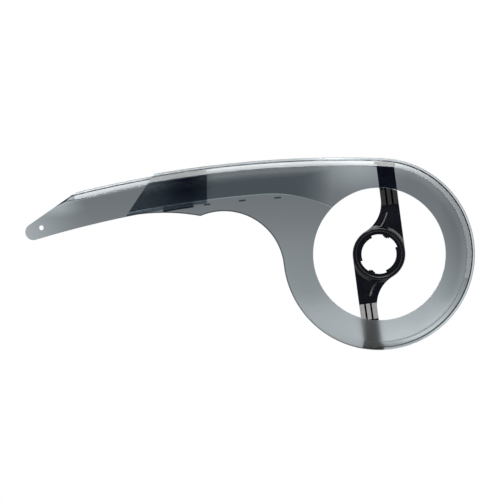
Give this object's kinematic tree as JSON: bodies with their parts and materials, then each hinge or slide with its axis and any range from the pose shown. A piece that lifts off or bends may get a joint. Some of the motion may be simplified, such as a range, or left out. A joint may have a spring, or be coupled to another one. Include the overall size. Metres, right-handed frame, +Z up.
{
  "type": "bicycle chain guard",
  "caption": "Clear smoked chain guard: a ring round the chainring with a curved tail that telescopes to length, on a black toothed bracket clamped at the bottom bracket.",
  "frame": {"origin": "on the crank axis, in the plane of the bracket hub's back face, which seats on the bottom bracket shell", "axes": "+X towards the front of the bicycle, +Z up, +Y along the crank axis towards the frame; the outer face looks along -Y"},
  "size_m": [0.4685, 0.027, 0.2006],
  "materials": {
    "smoked_shell": "clear smoked plastic, polished",
    "smoked_extension": "clear smoked plastic, polished",
    "black_bracket": "black moulded plastic, satin"
  },
  "bodies": {
    "guard": {"front_shell": "smoked_shell", "carrier_bracket": "black_bracket"},
    "extension": {"rear_extension": "smoked_extension"}
  },
  "joints": [
    {"name": "extension_slide", "type": "hinge", "parent": "guard", "child": "extension", "pos_m": [-0.03645, 0, -1.05437], "axis": [0, 1, 0], "range_deg": [0, 4]}
  ]
}
